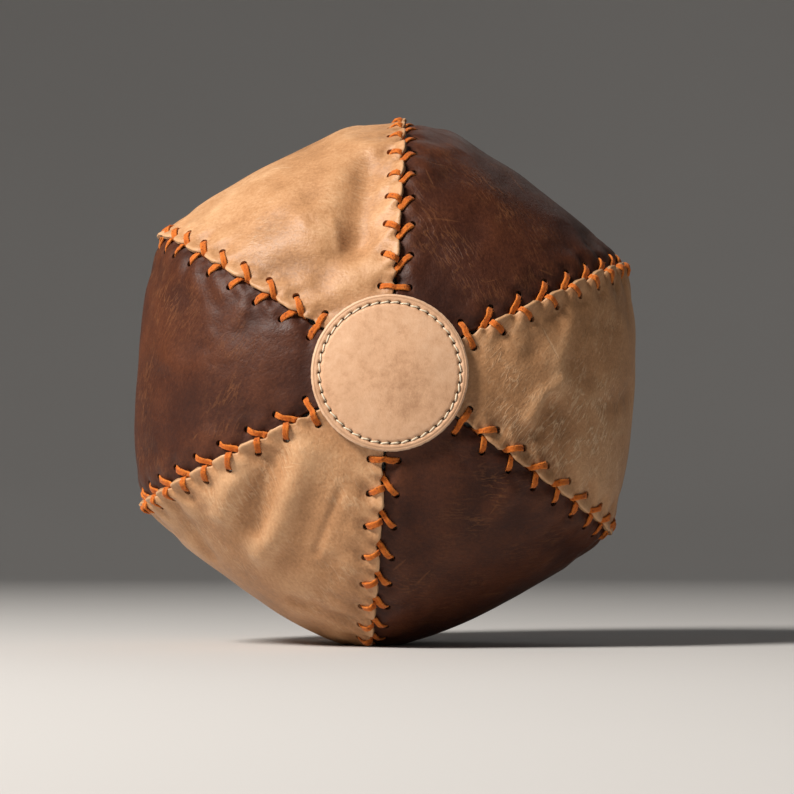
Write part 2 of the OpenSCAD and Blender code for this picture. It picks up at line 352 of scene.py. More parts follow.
def makeLeather(name):
    look = leatherLooks[name]
    f = Finish(name)
    ridge, rub, raw, veined = (f.painted(n) for n in ("ridge", "rub", "raw", "veined"))
    laid = f.node("ShaderNodeUVMap", {"uv_map": "laid"})
    cloud = f.noise(0.060, 3, 0.5) - 0.5
    fleck = f.noise(0.012, 5, 0.58) - 0.5
    speck = f.noise(0.0016, 4, 0.65) - 0.5
    streak = f.noise(0.0015, 3, 0.6, where=f.moved(laid, (2.2, 1, 1), 0.55)) - 0.5
    # ridge * 0.10 makes the leather lighter on ridges and darker in valleys: partly the pull-up of stretched
    # leather, partly painted highlight on ridges and painted shade in valleys
    tone = 0.46 + (cloud * 0.95 + fleck * 0.34 + speck * 0.50 + streak * 0.28) * 0.95 + ridge * 0.10
    stops = [(0.10, look["deep"]), (0.45, look["body"]), (0.86, look["pale"])]
    colour = f.node("ShaderNodeValToRGB", {"stops": stops}, [tone.clamped()])
    wrinkle = f.noise(0.0075, 4, 0.55, where=f.moved(laid, (2.0, 1, 1), 1.05)).lines(0.09)
    hair = f.noise(0.0030, 3, 0.5, where=f.moved(laid, (4.0, 1, 1), 0.50)).lines(0.045)
    hair = hair * f.noise(0.011, 2).band(0.38, 0.58)
    colour = f.blend(hair * veined * 0.70, colour, look["scratch"])
    scratch = 0.0
    for turn, size in ((0.8, 0.0032), (-0.5, 0.0026), (2.2, 0.0030)):
        stroke = f.noise(size, 1, 0.3, where=f.moved(laid, (13, 1, 1), turn))
        scratch = scratch + stroke.band(0.735, 0.765)
    scratch = (scratch * f.noise(0.035, 2).band(0.47, 0.58)).clamped()
    colour = f.blend(scratch * 0.22, colour, look["scratch"])
    colour = f.blend(rub * 0.4, colour, look["pale"])
    fibre = f.noise(0.0006, 3, 0.7)
    colour = f.blend(raw, colour, f.blend(fibre, look["deep"], look["raw"]))
    pores = f.cells(0.0012, feature="SMOOTH_F1", Smoothness=0.4)
    height = pores * 0.06 + streak * 0.09 + speck * 0.16 + fleck * 0.45 - scratch * 0.06 + raw * fibre * 0.3
    height = height - wrinkle * (0.05 + 0.04 * veined) + hair * veined * 0.22
    normal = f.bumped(height, 0.001, 1.0)
    rough = look["rough"] + 0.25 * fleck + 0.20 * speck + 0.10 * raw - 0.04 * ridge
    f.shader.inputs["Specular IOR Level"].default_value = look["shine"]
    return f.done(Base_Color=colour, Roughness=rough, Normal=normal)


def makeLaceLeather():
    f = Finish("lace_leather")
    cloud = f.noise(0.006, 4, 0.6)
    nap = f.noise(0.0009, 5, 0.75)
    pit = f.noise(0.0013, 3, 0.6).band(0.60, 0.68)
    edge = f.painted("edge")
    # edge * 0.22 lightens the strip towards its two cut edges: painted highlight along the frayed edges
    tone = (cloud * 0.55 + nap * 0.75 - 0.20 + edge * 0.22).clamped()
    stops = [(0.10, (0.17, 0.032, 0.004)), (0.45, (0.50, 0.108, 0.009)), (0.88, (0.74, 0.230, 0.030))]
    colour = f.node("ShaderNodeValToRGB", {"stops": stops}, [tone])
    # the pits are painted dark where the bump presses them in: painted shade in the pits
    colour = f.blend(pit * 0.6, colour, (0.12, 0.022, 0.004))
    normal = f.bumped(nap * 0.9 - pit * 0.5, 0.0005, 0.9)
    f.shader.inputs["Specular IOR Level"].default_value = 0.25
    f.shader.inputs["Sheen Weight"].default_value = 0.08
    f.shader.inputs["Sheen Roughness"].default_value = 0.5
    return f.done(Base_Color=colour, Roughness=0.72 + 0.15 * nap, Normal=normal)


def makePatchLeather():
    f = Finish("patch_leather")
    cloud = f.noise(0.03, 4, 0.55)
    fleck = f.noise(0.0035, 5, 0.65)
    speck = f.noise(0.0009, 3, 0.7)
    rub, raw = f.painted("rub"), f.painted("raw")
    tone = (cloud * 0.95 + fleck * 0.75 + speck * 0.35 - 0.56).clamped()
    stops = [(0.10, (0.44, 0.225, 0.115)), (0.45, (0.66, 0.385, 0.225)), (0.85, (0.78, 0.50, 0.320))]
    colour = f.node("ShaderNodeValToRGB", {"stops": stops}, [tone])
    # the crease layer darkens the thin groove near the rim: painted shade in the crease
    colour = f.blend(f.painted("crease") * 0.5, colour, (0.36, 0.20, 0.11))
    colour = f.blend(rub * 0.5, colour, (0.82, 0.56, 0.38))
    # the awl holes are painted near black: painted shade inside the dents that stand for the holes
    colour = f.blend(f.painted("awl"), colour, (0.020, 0.009, 0.005))
    colour = f.blend(raw * 0.8, colour, f.blend(fleck, (0.30, 0.17, 0.10), (0.66, 0.47, 0.33)))
    pores = f.cells(0.0006)
    normal = f.bumped(pores * 0.30 + speck * 0.35 + fleck * 0.25, 0.0003, 0.6)
    f.shader.inputs["Specular IOR Level"].default_value = 0.38
    return f.done(Base_Color=colour, Roughness=0.50 + 0.14 * fleck, Normal=normal)


def makeThread():
    f = Finish("waxed_thread")
    fray = f.noise(0.0007, 4, 0.7)
    colour = f.blend(fray, (0.60, 0.49, 0.34), (0.88, 0.79, 0.62))
    return f.done(Base_Color=colour, Roughness=0.6 + 0.1 * fray, Normal=f.bumped(fray, 0.0003, 0.5))


def makeWoven(name, dark, light, pitch):
    f = Finish(name)
    values = {"Vector": f.place, "Scale": 0.314 / pitch, "Distortion": 0.6, "Detail Scale": 3.0}
    warp, weft = (f.node("ShaderNodeTexWave", {"bands_direction": way}, values, out="Fac") for way in "XZ")
    weave = warp * 0.5 + weft * 0.5
    shade = (weave * 0.6 + f.noise(0.004, 4) * 0.5).clamped()
    return f.done(Base_Color=f.blend(shade, dark, light), Roughness=0.85 + 0.1 * weave,
                  Normal=f.bumped(weave, 0.0004, 0.6))


def makeSand():
    f = Finish("sand")
    grain = f.cells(0.0009, out="Color")
    shade = f.cells(0.0009)
    colour = f.blend(f.noise(0.0011, 2), (0.42, 0.33, 0.20), (0.70, 0.60, 0.42))
    colour = f.blend(0.25, colour, grain, "OVERLAY")
    return f.done(Base_Color=colour, Roughness=0.9 - 0.1 * shade, Normal=f.bumped(shade, 0.0005, 0.8))


def makeStudio():
    f = Finish("studio_floor")
    cloud = f.noise(0.8, 2)
    colour = f.blend(cloud, (0.55, 0.54, 0.53), (0.59, 0.58, 0.57))
    return f.done(Base_Color=colour, Roughness=0.75 + 0.05 * cloud)


finishes = {name: makeLeather(name) for name in leatherLooks}
finishes["lace_leather"] = makeLaceLeather()
finishes["patch_leather"] = makePatchLeather()
finishes["waxed_thread"] = makeThread()
# the canvas is darker than unbleached canvas so that the liner seen through the gaps between gores looks
# shaded: its own brownish grey with painted shade on top
finishes["canvas"] = makeWoven("canvas", (0.13, 0.105, 0.08), (0.24, 0.20, 0.155), 0.0011)
finishes["textile_scrap"] = makeWoven("textile_scrap", (0.12, 0.12, 0.13), (0.30, 0.29, 0.28), 0.0016)
finishes["tie_cord"] = makeWoven("tie_cord", (0.30, 0.24, 0.16), (0.55, 0.46, 0.33), 0.0009)
finishes["sand"] = makeSand()
print("materials ready:", len(finishes))

# camera, stage and lights

camera = {"distance": 1.46, "azimuth": -1.24, "elevation": -3.2, "lens": 127.5, "shift": (0.0151, -0.0151)}
stage = {"flat": 2.6, "rim": 5.2, "height": 3.2, "sky": (0.92, 0.95, 1.0), "skyStrength": 0.045}
lights = {  # place, size, watts, colour
    "key": ((-1.28, -1.00, 1.50), 0.60, 73, (1.0, 0.95, 0.89)),
    "fill": ((1.6, -1.8, 0.9), 1.8, 1.2, (0.97, 0.98, 1.0)),
    "back": ((0.5, 1.6, 1.7), 1.2, 3, (1.0, 0.97, 0.92)),
}


def placeCamera():
    data = bpy.data.cameras.new("camera")
    data.sensor_width = 36
    data.lens = camera["lens"]
    data.shift_x, data.shift_y = camera["shift"]
    data.clip_start, data.clip_end = 0.05, 50
    made = bpy.data.objects.new("camera", data)
    bpy.context.scene.collection.objects.link(made)
    a, e = math.radians(camera["azimuth"]), math.radians(camera["elevation"])
    back = Vector((math.sin(a) * math.cos(e), -math.cos(a) * math.cos(e), math.sin(e)))
    made.location = Vector((0, 0, centreZ * mm)) + back * camera["distance"]
    made.rotation_euler = (-back).to_track_quat("-Z", "Y").to_euler()
    bpy.context.scene.camera = made
    bpy.context.scene.view_settings.view_transform = "Standard"


def buildStage():
    steps, around = 24, 96
    rings = [(0.05, 0.0)] + [(stage["flat"] * k / 6, 0.0) for k in range(1, 7)]
    for k in range(1, steps + 1):
        t = k / steps * math.pi / 2
        rings.append((stage["flat"] + (stage["rim"] - stage["flat"]) * math.sin(t),
                      stage["height"] * (1 - math.cos(t))))
    points = [(r * math.cos(2 * math.pi * j / around), r * math.sin(2 * math.pi * j / around), z)
              for r, z in rings for j in range(around)]
    number = np.arange(len(points)).reshape(len(rings), around)
    faces = gridQuads(np.concatenate([number, number[:, :1]], 1)).tolist() + [tuple(range(around))]
    floor = meshObject("studio_floor", points, faces, makeStudio())
    for face in floor.data.polygons:
        face.use_smooth = True
    world = bpy.data.worlds.new("studio")
    bpy.context.scene.world = world
    world.use_nodes = True
    sky = world.node_tree.nodes["Background"]
    sky.inputs[0].default_value = (*stage["sky"], 1)
    sky.inputs[1].default_value = stage["skyStrength"]
    for name, (place, size, watts, colour) in lights.items():
        data = bpy.data.lights.new(name, "AREA")
        data.shape, data.size, data.energy, data.color = "DISK", size, watts, colour
        made = bpy.data.objects.new(name, data)
        bpy.context.scene.collection.objects.link(made)
        made.location = place
        aim = Vector((0, 0, centreZ * mm)) - Vector(place)
        made.rotation_euler = aim.to_track_quat("-Z", "Y").to_euler()


placeCamera()
buildStage()
print("camera, stage and lights placed")

# the stuffed skin settles: cloth under pressure, held at the lacing holes

settling = {
    "rows": 97, "cols": 25, "frames": 22, "quality": 5,
    "grow": 0.006, "pressure": 1.2, "mass": 0.2, "stiff": 18, "bend": 2.0,
    "patchR": 40, "restHeight": 2,  # held under the patches and where the ball rests
    "cap": 2.6, "kept": 0.5,        # the largest move, and the share of each move that is kept
}


def goreGrid(rows, cols):
    angle = angleAlong(np.linspace(0, goreLength, rows))[:, None]
    turn = np.linspace(-1, 1, cols)[None, :] * seamTurn(axisD + profile(angle)[0])
    return gorePoint(angle + 0 * turn, turn)


def settleSkin():
    rows, cols = settling["rows"], settling["cols"]
    place, facing = goreGrid(rows, cols)
    grids = np.stack([spun(place, goreAngle(i)) for i in range(6)])
    flat = grids.reshape(-1, 3)
    rounded = np.round(flat / mm).astype(int)  # points that gores share become one
    _, first, back = np.unique(rounded, axis=0, return_index=True, return_inverse=True)
    index = back.reshape(6, rows, cols)
    faces = [list(dict.fromkeys(q)) for number in index for q in gridQuads(number).tolist()]
    points = flat[first]
    skin = meshObject("settling_skin", points * mm, [f for f in faces if len(f) > 2], None)
    held = skin.vertex_groups.new(name="held")
    reach = np.hypot(points[:, 0], points[:, 1])
    fixed = set(np.flatnonzero(reach < settling["patchR"]).tolist())
    fixed |= set(np.flatnonzero(points[:, 1] < settling["restHeight"] - centreZ).tolist())
    for seam in range(6):
        for side in (-1, 1):
            for run in rowRun:
                angle = seamAngle(run)
                rho = axisD + profile(angle)[0]
                turn = -side * (seamTurn(rho) - lacing["out"] / rho)
                hole = spun(gorePoint(angle, turn)[0], goreAngle(seam + (side > 0)))
                fixed.add(int(np.argmin(((points - hole) ** 2).sum(1))))
    held.add(sorted(fixed), 1.0, "REPLACE")
    cloth = skin.modifiers.new("settle", "CLOTH")
    cloth.settings.quality = settling["quality"]
    cloth.settings.mass = settling["mass"]
    cloth.settings.tension_stiffness = settling["stiff"]
    cloth.settings.compression_stiffness = settling["stiff"]
    cloth.settings.shear_stiffness = settling["stiff"] / 2
    cloth.settings.bending_stiffness = settling["bend"]
    cloth.settings.use_pressure = True
    cloth.settings.uniform_pressure_force = settling["pressure"]
    cloth.settings.shrink_min = -settling["grow"]
    cloth.settings.vertex_group_mass = "held"
    cloth.settings.effector_weights.gravity = 0
    cloth.point_cache.frame_end = settling["frames"]
    for number in range(1, settling["frames"] + 1):
        bpy.context.scene.frame_set(number)
    settled = skin.evaluated_get(bpy.context.evaluated_depsgraph_get()).data
    moved = np.empty(len(settled.vertices) * 3)
    settled.vertices.foreach_get("co", moved)
    shift = moved.reshape(-1, 3) / mm - points
    size = np.linalg.norm(shift, axis=1, keepdims=True)
    shift *= np.minimum(1, settling["cap"] / np.maximum(size, 1e-6)) * settling["kept"]
    bpy.context.scene.frame_set(1)
    bpy.data.objects.remove(skin)
    print(f"skin settled: moves up to {size.max():.1f} mm, {size.mean():.2f} mm on average")
    shifts = shift[index]
    return np.stack([spun(shifts[i], -goreAngle(i)) for i in range(6)])


def cubicWeights(t):
    return np.stack([-t + 2 * t ** 2 - t ** 3, 2 - 5 * t ** 2 + 3 * t ** 3, t + 4 * t ** 2 - 3 * t ** 3,
                     t ** 3 - t ** 2], -1) / 2


def readGrid(grid, row, col):  # smooth reading between the rows and columns of a grid
    row = np.clip(row, 0, grid.shape[0] - 1.001)
    col = np.clip(col, 0, grid.shape[1] - 1.001)
    r0, c0 = np.floor(row).astype(int), np.floor(col).astype(int)
    wr, wc = cubicWeights(row - r0), cubicWeights(col - c0)
    total = 0
    for a in range(4):
        ra = np.clip(r0 + a - 1, 0, grid.shape[0] - 1)
        for b in range(4):
            cb = np.clip(c0 + b - 1, 0, grid.shape[1] - 1)
            weight = wr[..., a] * wc[..., b]
            total = total + grid[ra, cb] * (weight[..., None] if grid.ndim == 3 else weight)
    return total


skinShift = settleSkin()

# leather gores

goreGridLook = {
    "rows": 341, "edgeCols": (0, 0.2, 0.5, 0.9),      # millimetres from the edge
    "innerCols": 55, "innerStart": 1.4, "spread": 1.3,
}
seamLook = {
    "dimple": 0.9, "dimpleR": 4.0,                    # pressed in round a hole
    "pucker": 0.55, "puckerW": 3.2, "puckerL": 13.0,  # valley that runs inward from a hole
    "notchDown": 1.3, "notchBack": 0.8, "notchW": 3.0,  # where a lace pulls over the edge
    "lapOut": 2.0, "lapUp": 1.2,                      # tan edges lap over brown ones between laces
    "tuckDown": 2.3,                                  # brown edges tuck under tan ones
    "wornEdge": 0.55,
    "calm": (39, 46), "underPatch": 43,               # smooth round the pole, and flat under a patch
}
lumpLook = ((60, 0.34, 31), (27, 0.08, 32), (12, 0.020, 33))  # size, height and seed
seamSag = [0.0, 3.0, 0.0, 0.0, 0.0, 0.0]  # how far each seam is drawn in at the rim
sagLook = {"along": 62, "narrow": 15, "swell": 0.8, "swellOut": 27, "swellWide": 14}  # and swells beside it
# Folds: gore, points as (mm out from the pole, degrees from the gore's middle), height in mm
# (less than 0 is a valley), half width in mm, and 1 where it is on the back.
folds = [
    (4, ((55, -15), (85, -3), (107, -2)), 2.6, 8, 0), (4, ((66, -20), (80, -15), (98, -9)), -3.4, 7.5, 0),
    (4, ((84, -24), (103, -17)), 2.0, 7, 0), (4, ((61, 11), (93, 11)), -0.9, 2.6, 0),
    (4, ((116, 23), (119, 11)), -2.3, 6, 0), (4, ((118, -25), (124, -12)), -2.2, 6, 0),
    (4, ((62, 20), (92, 24)), 0.8, 6, 0), (4, ((70, 3), (98, 7)), -0.8, 7, 0),
    (2, ((100, -21), (84, -17), (68, -13)), -7.5, 11.0, 0),
    (2, ((66, -12), (62, 5), (73, 18)), -2.4, 9.0, 0), (2, ((80, -7), (68, -5)), 0.9, 2.6, 0),
    (2, ((86, 4), (80, 16)), 1.3, 10, 0), (2, ((70, 2), (98, 4)), 1.2, 13, 0),
    (2, ((54, 12), (64, 2)), -1.0, 6, 0), (3, ((99, -25), (88, -19)), -0.8, 4.5, 0),
    (3, ((66, -21), (74, -12)), -1.0, 4.8, 0), (3, ((80, -23), (86, -13)), -0.8, 4.6, 0),
    (3, ((70, 20), (96, 14)), -0.8, 9, 0), (3, ((60, 2), (110, -2)), 1.0, 16, 0),
    (0, ((80, -6), (76, -18)), -2.6, 4.2, 0), (0, ((71, -14), (76, -5), (84, 1)), 1.8, 5, 0),
    (0, ((80, 22), (70, 13)), -1.2, 6, 0), (0, ((90, 20), (84, 8)), 1.0, 5, 0),
    (0, ((92, -22), (88, -10)), -1.2, 5, 0), (1, ((60, -8), (104, 6)), 0.9, 14, 0),
    (1, ((86, 24), (104, 15)), -0.9, 8, 0), (1, ((64, 14), (82, 4)), -0.6, 7, 0),
    (5, ((82, 10), (81, 19)), 1.4, 5, 0), (5, ((64, -14), (94, -16)), -1.0, 8, 0),
    (5, ((58, 4), (96, -4)), 0.8, 11, 0), (0, ((58, 10), (98, 4)), -1.6, 7, 1),
    (0, ((64, -12), (100, -18)), 1.2, 7, 1), (1, ((52, -16), (104, -10)), 1.4, 8, 1),
    (1, ((70, 18), (100, 12)), -1.5, 6, 1), (2, ((60, 12), (110, 4)), -1.8, 7, 1),
    (2, ((58, -10), (92, -20)), 1.3, 8, 1), (3, ((54, -8), (90, -14)), -1.6, 6, 1),
    (3, ((70, 16), (112, 8)), 1.2, 9, 1), (4, ((56, 14), (92, 20)), -2.4, 8, 1),
    (4, ((64, -12), (108, -6)), 1.6, 8, 1), (5, ((60, -14), (98, -8)), -1.3, 7, 1),
    (5, ((66, 16), (96, 8)), 1.0, 7, 1),
]
pullRng = np.random.default_rng(21)
holePull = pullRng.uniform(0.45, 1.5, (6, 2, lacing["rows"]))
lapWave = pullRng.uniform(0.6, 1.3, (6, lacing["rows"] + 1))


def foldHeight(gore, s, degrees):
    total = np.zeros_like(degrees)
    for which, route, height, width, back in folds:
        if which != gore:
            continue
        out = goreLength - s if back else s
        x, y = out * np.cos(np.radians(degrees)), out * np.sin(np.radians(degrees))
        stops = []
        for radius, turn in route:
            run = float(alongAngle(np.interp(radius, ridgeRadius[:721], ridgeAngles[:721])))
            stops.append(np.array([run * math.cos(math.radians(turn)), run * math.sin(math.radians(turn))]))
        nearest = np.full_like(degrees, 1e9)
        for start, stop in zip(stops, stops[1:]):
            way = stop - start
            t = np.clip(((x - start[0]) * way[0] + (y - start[1]) * way[1]) / (way @ way), 0, 1)
            nearest = np.minimum(nearest, np.hypot(x - start[0] - t * way[0], y - start[1] - t * way[1]))
        total += height * np.exp(-(nearest / width) ** 2) * (out < goreLength * 0.62)
    return total


def seamRelief(gore, side, run, edge, calm):
    # height over the smooth skin and shift towards the seam, near one edge of a gore
    seam = gore if side > 0 else (gore + 5) % 6
    height, outward, rub = np.zeros_like(edge), np.zeros_like(edge), np.zeros_like(edge)
    fromHole = edge + ball["seamGap"] - lacing["out"]
    notch = np.zeros_like(edge)
    for n in range(lacing["rows"]):
        pull = holePull[seam, (side + 1) // 2, n]
        across = run - rowRun[n]
        near = across ** 2 + fromHole ** 2
        height -= seamLook["dimple"] * (0.5 + 0.5 * pull) * np.exp(-near / seamLook["dimpleR"] ** 2)
        inward = np.clip(fromHole, 0, None)
        valley = np.exp(-(across / (seamLook["puckerW"] + 0.12 * inward)) ** 2)
        fade = np.exp(-inward / (seamLook["puckerL"] * pull)) * smooth(-6, 0, fromHole)
        height -= seamLook["pucker"] * pull * valley * fade
        notch += np.exp(-((run - notchRun[n]) / seamLook["notchW"]) ** 2)
        rub += 0.8 * np.exp(-((np.sqrt(near) - lacing["holeR"] - 0.5) / 0.7) ** 2)
    notch = np.minimum(notch, 1)
    wave = np.interp(run, np.concatenate([[0], rowRun + 4]), lapWave[seam])
    if gore % 2 == 0:
        lap = (1 - notch) * wave * calm
        outward += seamLook["lapOut"] * lap * np.exp(-(edge / 7) ** 2)
        height += seamLook["lapUp"] * lap * np.exp(-(edge / 5) ** 2)
        height -= 0.5 * lap * np.exp(-((edge - 9) / 5) ** 2)
    else:
        height -= seamLook["tuckDown"] * calm * (0.75 + 0.25 * wave) * np.exp(-(edge / 5.5) ** 2)
    height -= seamLook["notchDown"] * notch * calm * np.exp(-(edge / 4) ** 2)
    outward -= seamLook["notchBack"] * notch * calm * np.exp(-(edge / 3) ** 2)
    return height, outward, rub


def blurred(values, reach):
    for axis in (0, 1):
        padded = np.pad(values, [(reach, reach) if a == axis else (0, 0) for a in (0, 1)], mode="edge")
        sums = np.cumsum(np.insert(padded, 0, 0, axis=axis), axis=axis)
        size = values.shape[axis]
        span = 2 * reach + 1
        values = (np.take(sums, range(span, span + size), axis) - np.take(sums, range(size), axis)) / span
    return values


def shapeGore(i):
    look = goreGridLook
    first = float(alongAngle(math.asin(ball["tipR"] / crownR)))
    s = np.linspace(first, goreLength - first, look["rows"])[:, None]
    angle = angleAlong(s)
    radius = profile(angle)[0]
    rho = axisD + radius
    edgeTurn = seamTurn(rho) - ball["seamGap"] / rho
    half = rho * edgeTurn
    fixed = np.array(look["edgeCols"])[None, :] + 0 * half
    spread = np.linspace(0, 1, look["innerCols"])[None, :] ** look["spread"]
    inner = look["innerStart"] + (half - look["innerStart"]) * spread
    edge = np.concatenate([fixed, inner], 1)
    edge = np.concatenate([edge, edge[:, -2::-1]], 1)
    cols = edge.shape[1]
    side = np.sign(np.arange(cols) - cols // 2)[None, :] + 0 * edge
    across = side * (half - edge)
    turn = across / rho
    angle = angle + 0 * turn
    place, facing = gorePoint(angle, turn)
    reach = np.hypot(place[..., 0], place[..., 1])
    degrees = np.degrees(np.arctan2(place[..., 1], place[..., 0]))
    calm = smooth(*seamLook["calm"], reach)
    run = seamRun(angle)
    height, outward, rub = np.zeros_like(edge), np.zeros_like(edge), np.zeros_like(edge)
    atRim = np.exp(-((s - goreLength / 2) / sagLook["along"]) ** 2)
    for sign in (-1, 1):
        ownEdge = half - sign * across
        swell = sagLook["swell"] * np.exp(-((ownEdge - sagLook["swellOut"]) / sagLook["swellWide"]) ** 2)
        sag = seamSag[(i if sign > 0 else i + 5) % 6] * atRim
        height += sag * (swell - np.exp(-(ownEdge / sagLook["narrow"]) ** 2))
        h, o, r = seamRelief(i, sign, run, ownEdge, calm)
        height += h
        outward += sign * o
        rub = np.maximum(rub, r)
    turned = spun(place, goreAngle(i))
    lumps = sum(tall * ripples(turned, size, 16, seed) for size, tall, seed in lumpLook)
    height += (foldHeight(i, s + 0 * edge, degrees) + lumps * smooth(0, 14, edge)) * calm
    under = seamLook["underPatch"]
    low = -0.15 * (1 - smooth(seamLook["calm"][0], under, reach))
    height = np.where(reach < under, np.minimum(height, low), height)
    sideways = np.stack([-np.sin(turn), np.cos(turn), 0 * turn], -1)
    grid = skinShift[i]
    shift = readGrid(grid, s / goreLength * (grid.shape[0] - 1) + 0 * edge,
                     (turn / seamTurn(rho) + 1) / 2 * (grid.shape[1] - 1)) * calm[..., None]
    base = place + shift + facing * height[..., None] + sideways * outward[..., None]
    normal = unit(np.cross(np.gradient(base, axis=0), np.gradient(base, axis=1)))
    normal *= np.sign((normal * facing).sum(-1, keepdims=True))
    worn = seamLook["wornEdge"] * np.clip(1 - edge / 0.9, 0, 1) ** 2
    outer = base - facing * worn[..., None]
    under = base - normal * ball["skinT"]
    relief = height + (shift * facing).sum(-1)
    # ridge: the relief against its blurred surroundings, which the leather material turns into lighter ridges
    # and darker valleys, partly pull-up and partly painted light and shade
    ridge = np.clip((blurred(relief, 2) - blurred(relief, 13)) / 0.8, -1, 1)
    rub = np.clip(rub + 0.9 * np.exp(-(edge / 0.9) ** 2), 0, 1)
    floor = ball["floorGap"] - centreZ
    outer, under, normal = (spun(v, goreAngle(i)) for v in (outer, under, normal))
    outer[..., 1] = np.maximum(outer[..., 1], floor)
    under[..., 1] = np.maximum(under[..., 1], floor + ball["skinT"])
    return {"s": s[:, 0], "edge": edge, "outer": outer, "under": under, "normal": normal, "ridge": ridge,
            "rub": rub, "laid": np.stack([across, s + 0 * across], -1) * mm, "sunk": blurred(relief, 4)}


def goreShell(i, gore):
    rows, cols = gore["edge"].shape
    shell = slab(f"leather_gore_{goreNames[i]}", gore["outer"], gore["under"], None)
    mesh = shell.data
    for name in ("ridge", "rub", "veined"):
        paint(mesh, name, np.concatenate([gore[name].ravel()] * 2))
    paint(mesh, "raw", np.arange(len(mesh.polygons)) >= (rows - 1) * (cols - 1), "FACE")
    laid = np.concatenate([gore["laid"].reshape(-1, 2)] * 2)
    loops = np.empty(len(mesh.loops), int)
    mesh.loops.foreach_get("vertex_index", loops)
    mesh.uv_layers.new(name="laid").data.foreach_set("uv", laid[loops].ravel())
    return shell


class Grove:
    # geometry nodes, added one at a time
    def __init__(self, name, **inputs):
        self.tree = bpy.data.node_groups.new(name, "GeometryNodeTree")
        sockets = self.tree.interface
        sockets.new_socket("Geometry", in_out="INPUT", socket_type="NodeSocketGeometry")
        for label, value in inputs.items():
            kind = value if isinstance(value, str) else "Int" if isinstance(value, int) else "Float"
            label = label.replace("_", " ")
            made = sockets.new_socket(label, in_out="INPUT", socket_type="NodeSocket" + kind)
            if not isinstance(value, str):
                made.default_value = value
        sockets.new_socket("Geometry", in_out="OUTPUT", socket_type="NodeSocketGeometry")
        self.start = self.tree.nodes.new("NodeGroupInput")
        self.end = self.tree.nodes.new("NodeGroupOutput")

    def given(self, name):
        return self.start.outputs[name]

    def node(self, kind, settings=None, values=(), out=0):
        made = self.tree.nodes.new(kind)
        for key, value in (settings or {}).items():
            setattr(made, key, value)
        plug(self.tree, made, values)
        return made.outputs[out]

    def maths(self, operation, *values):
        return self.node("ShaderNodeMath", {"operation": operation}, values)

    def stored(self, name, kind="FLOAT"):
        return self.node("GeometryNodeInputNamedAttribute", {"data_type": kind}, {"Name": name})

    def upward(self, value):
        return self.node("ShaderNodeCombineXYZ", {}, {2: value})

    def uneven(self, geometry, amount, noise):  # moves every point a little, then smooths the shading
        level = self.node("ShaderNodeTexNoise", {}, noise, out="Color")
        level = self.node("ShaderNodeVectorMath", {"operation": "SUBTRACT"}, [level, (0.5, 0.5, 0.5)])
        push = self.node("ShaderNodeVectorMath", {"operation": "SCALE"}, {"Vector": level, "Scale": amount})
        moved = self.node("GeometryNodeSetPosition", {}, {"Geometry": geometry, "Offset": push})
        return self.node("GeometryNodeSetShadeSmooth", {}, {"Geometry": moved, "Shade Smooth": True})

    def finish(self, geometry, material):
        real = self.node("GeometryNodeRealizeInstances", {}, {"Geometry": geometry})
        dressed = self.node("GeometryNodeSetMaterial", {}, {"Geometry": real, "Material": material})
        self.tree.links.new(dressed, self.end.inputs[0])
        return self.tree


def grown(base, tree, name, **inputs):
    # runs a tree on an object and keeps the result as a plain mesh of its own
    modifier = base.modifiers.new(tree.name, "NODES")
    modifier.node_group = tree
    for item in tree.interface.items_tree:
        if item.item_type == "SOCKET" and item.in_out == "INPUT" and item.name in inputs:
            modifier[item.identifier] = inputs[item.name]
    graph = bpy.context.evaluated_depsgraph_get()
    grownBase = base.evaluated_get(graph)
    mesh = bpy.data.meshes.new_from_object(grownBase, preserve_all_data_layers=True, depsgraph=graph)
    base.modifiers.remove(modifier)
    bpy.data.objects.remove(base)
    mesh.name = name
    made = bpy.data.objects.new(name, mesh)
    bpy.context.scene.collection.objects.link(made)
    return made


def punchTree():
    g = Grove("punched holes", Punches="Object", Radius=0.0018, Depth=0.009, Leather="Material")
    marks = g.node("GeometryNodeObjectInfo", {}, {"Object": g.given("Punches")}, "Geometry")
    points = g.node("GeometryNodeMeshToPoints", {}, {"Mesh": marks})
    turned = g.node("FunctionNodeAlignRotationToVector", {"axis": "Z"},
                    {"Vector": g.stored("facing", "FLOAT_VECTOR")})
    values = {"Vertices": 22, "Radius": g.given("Radius"), "Depth": g.given("Depth")}
    punch = g.node("GeometryNodeMeshCylinder", {}, values)
    marked = g.node("GeometryNodeStoreNamedAttribute", {"data_type": "FLOAT", "domain": "FACE"},
                    {"Geometry": punch, "Name": "raw", "Value": 1.0})
    punches = g.node("GeometryNodeInstanceOnPoints", {},
                     {"Points": points, "Instance": marked, "Rotation": turned})
    solid = g.node("GeometryNodeRealizeInstances", {}, {"Geometry": punches})
    cut = g.node("GeometryNodeMeshBoolean", {"operation": "DIFFERENCE", "solver": "MANIFOLD"},
                 {"Mesh 1": g.given("Geometry"), "Mesh 2": solid})
    bend = g.node("GeometryNodeInputMeshEdgeAngle")
    sharp = g.node("FunctionNodeCompare", {"operation": "GREATER_THAN"}, [bend, 0.75])
    rounded = g.node("GeometryNodeSetShadeSmooth", {"domain": "FACE"},
                     {"Geometry": cut, "Shade Smooth": True})
    crisp = g.node("GeometryNodeSetShadeSmooth", {"domain": "EDGE"},
                   {"Geometry": rounded, "Selection": sharp, "Shade Smooth": False})
    return g.finish(crisp, g.given("Leather"))


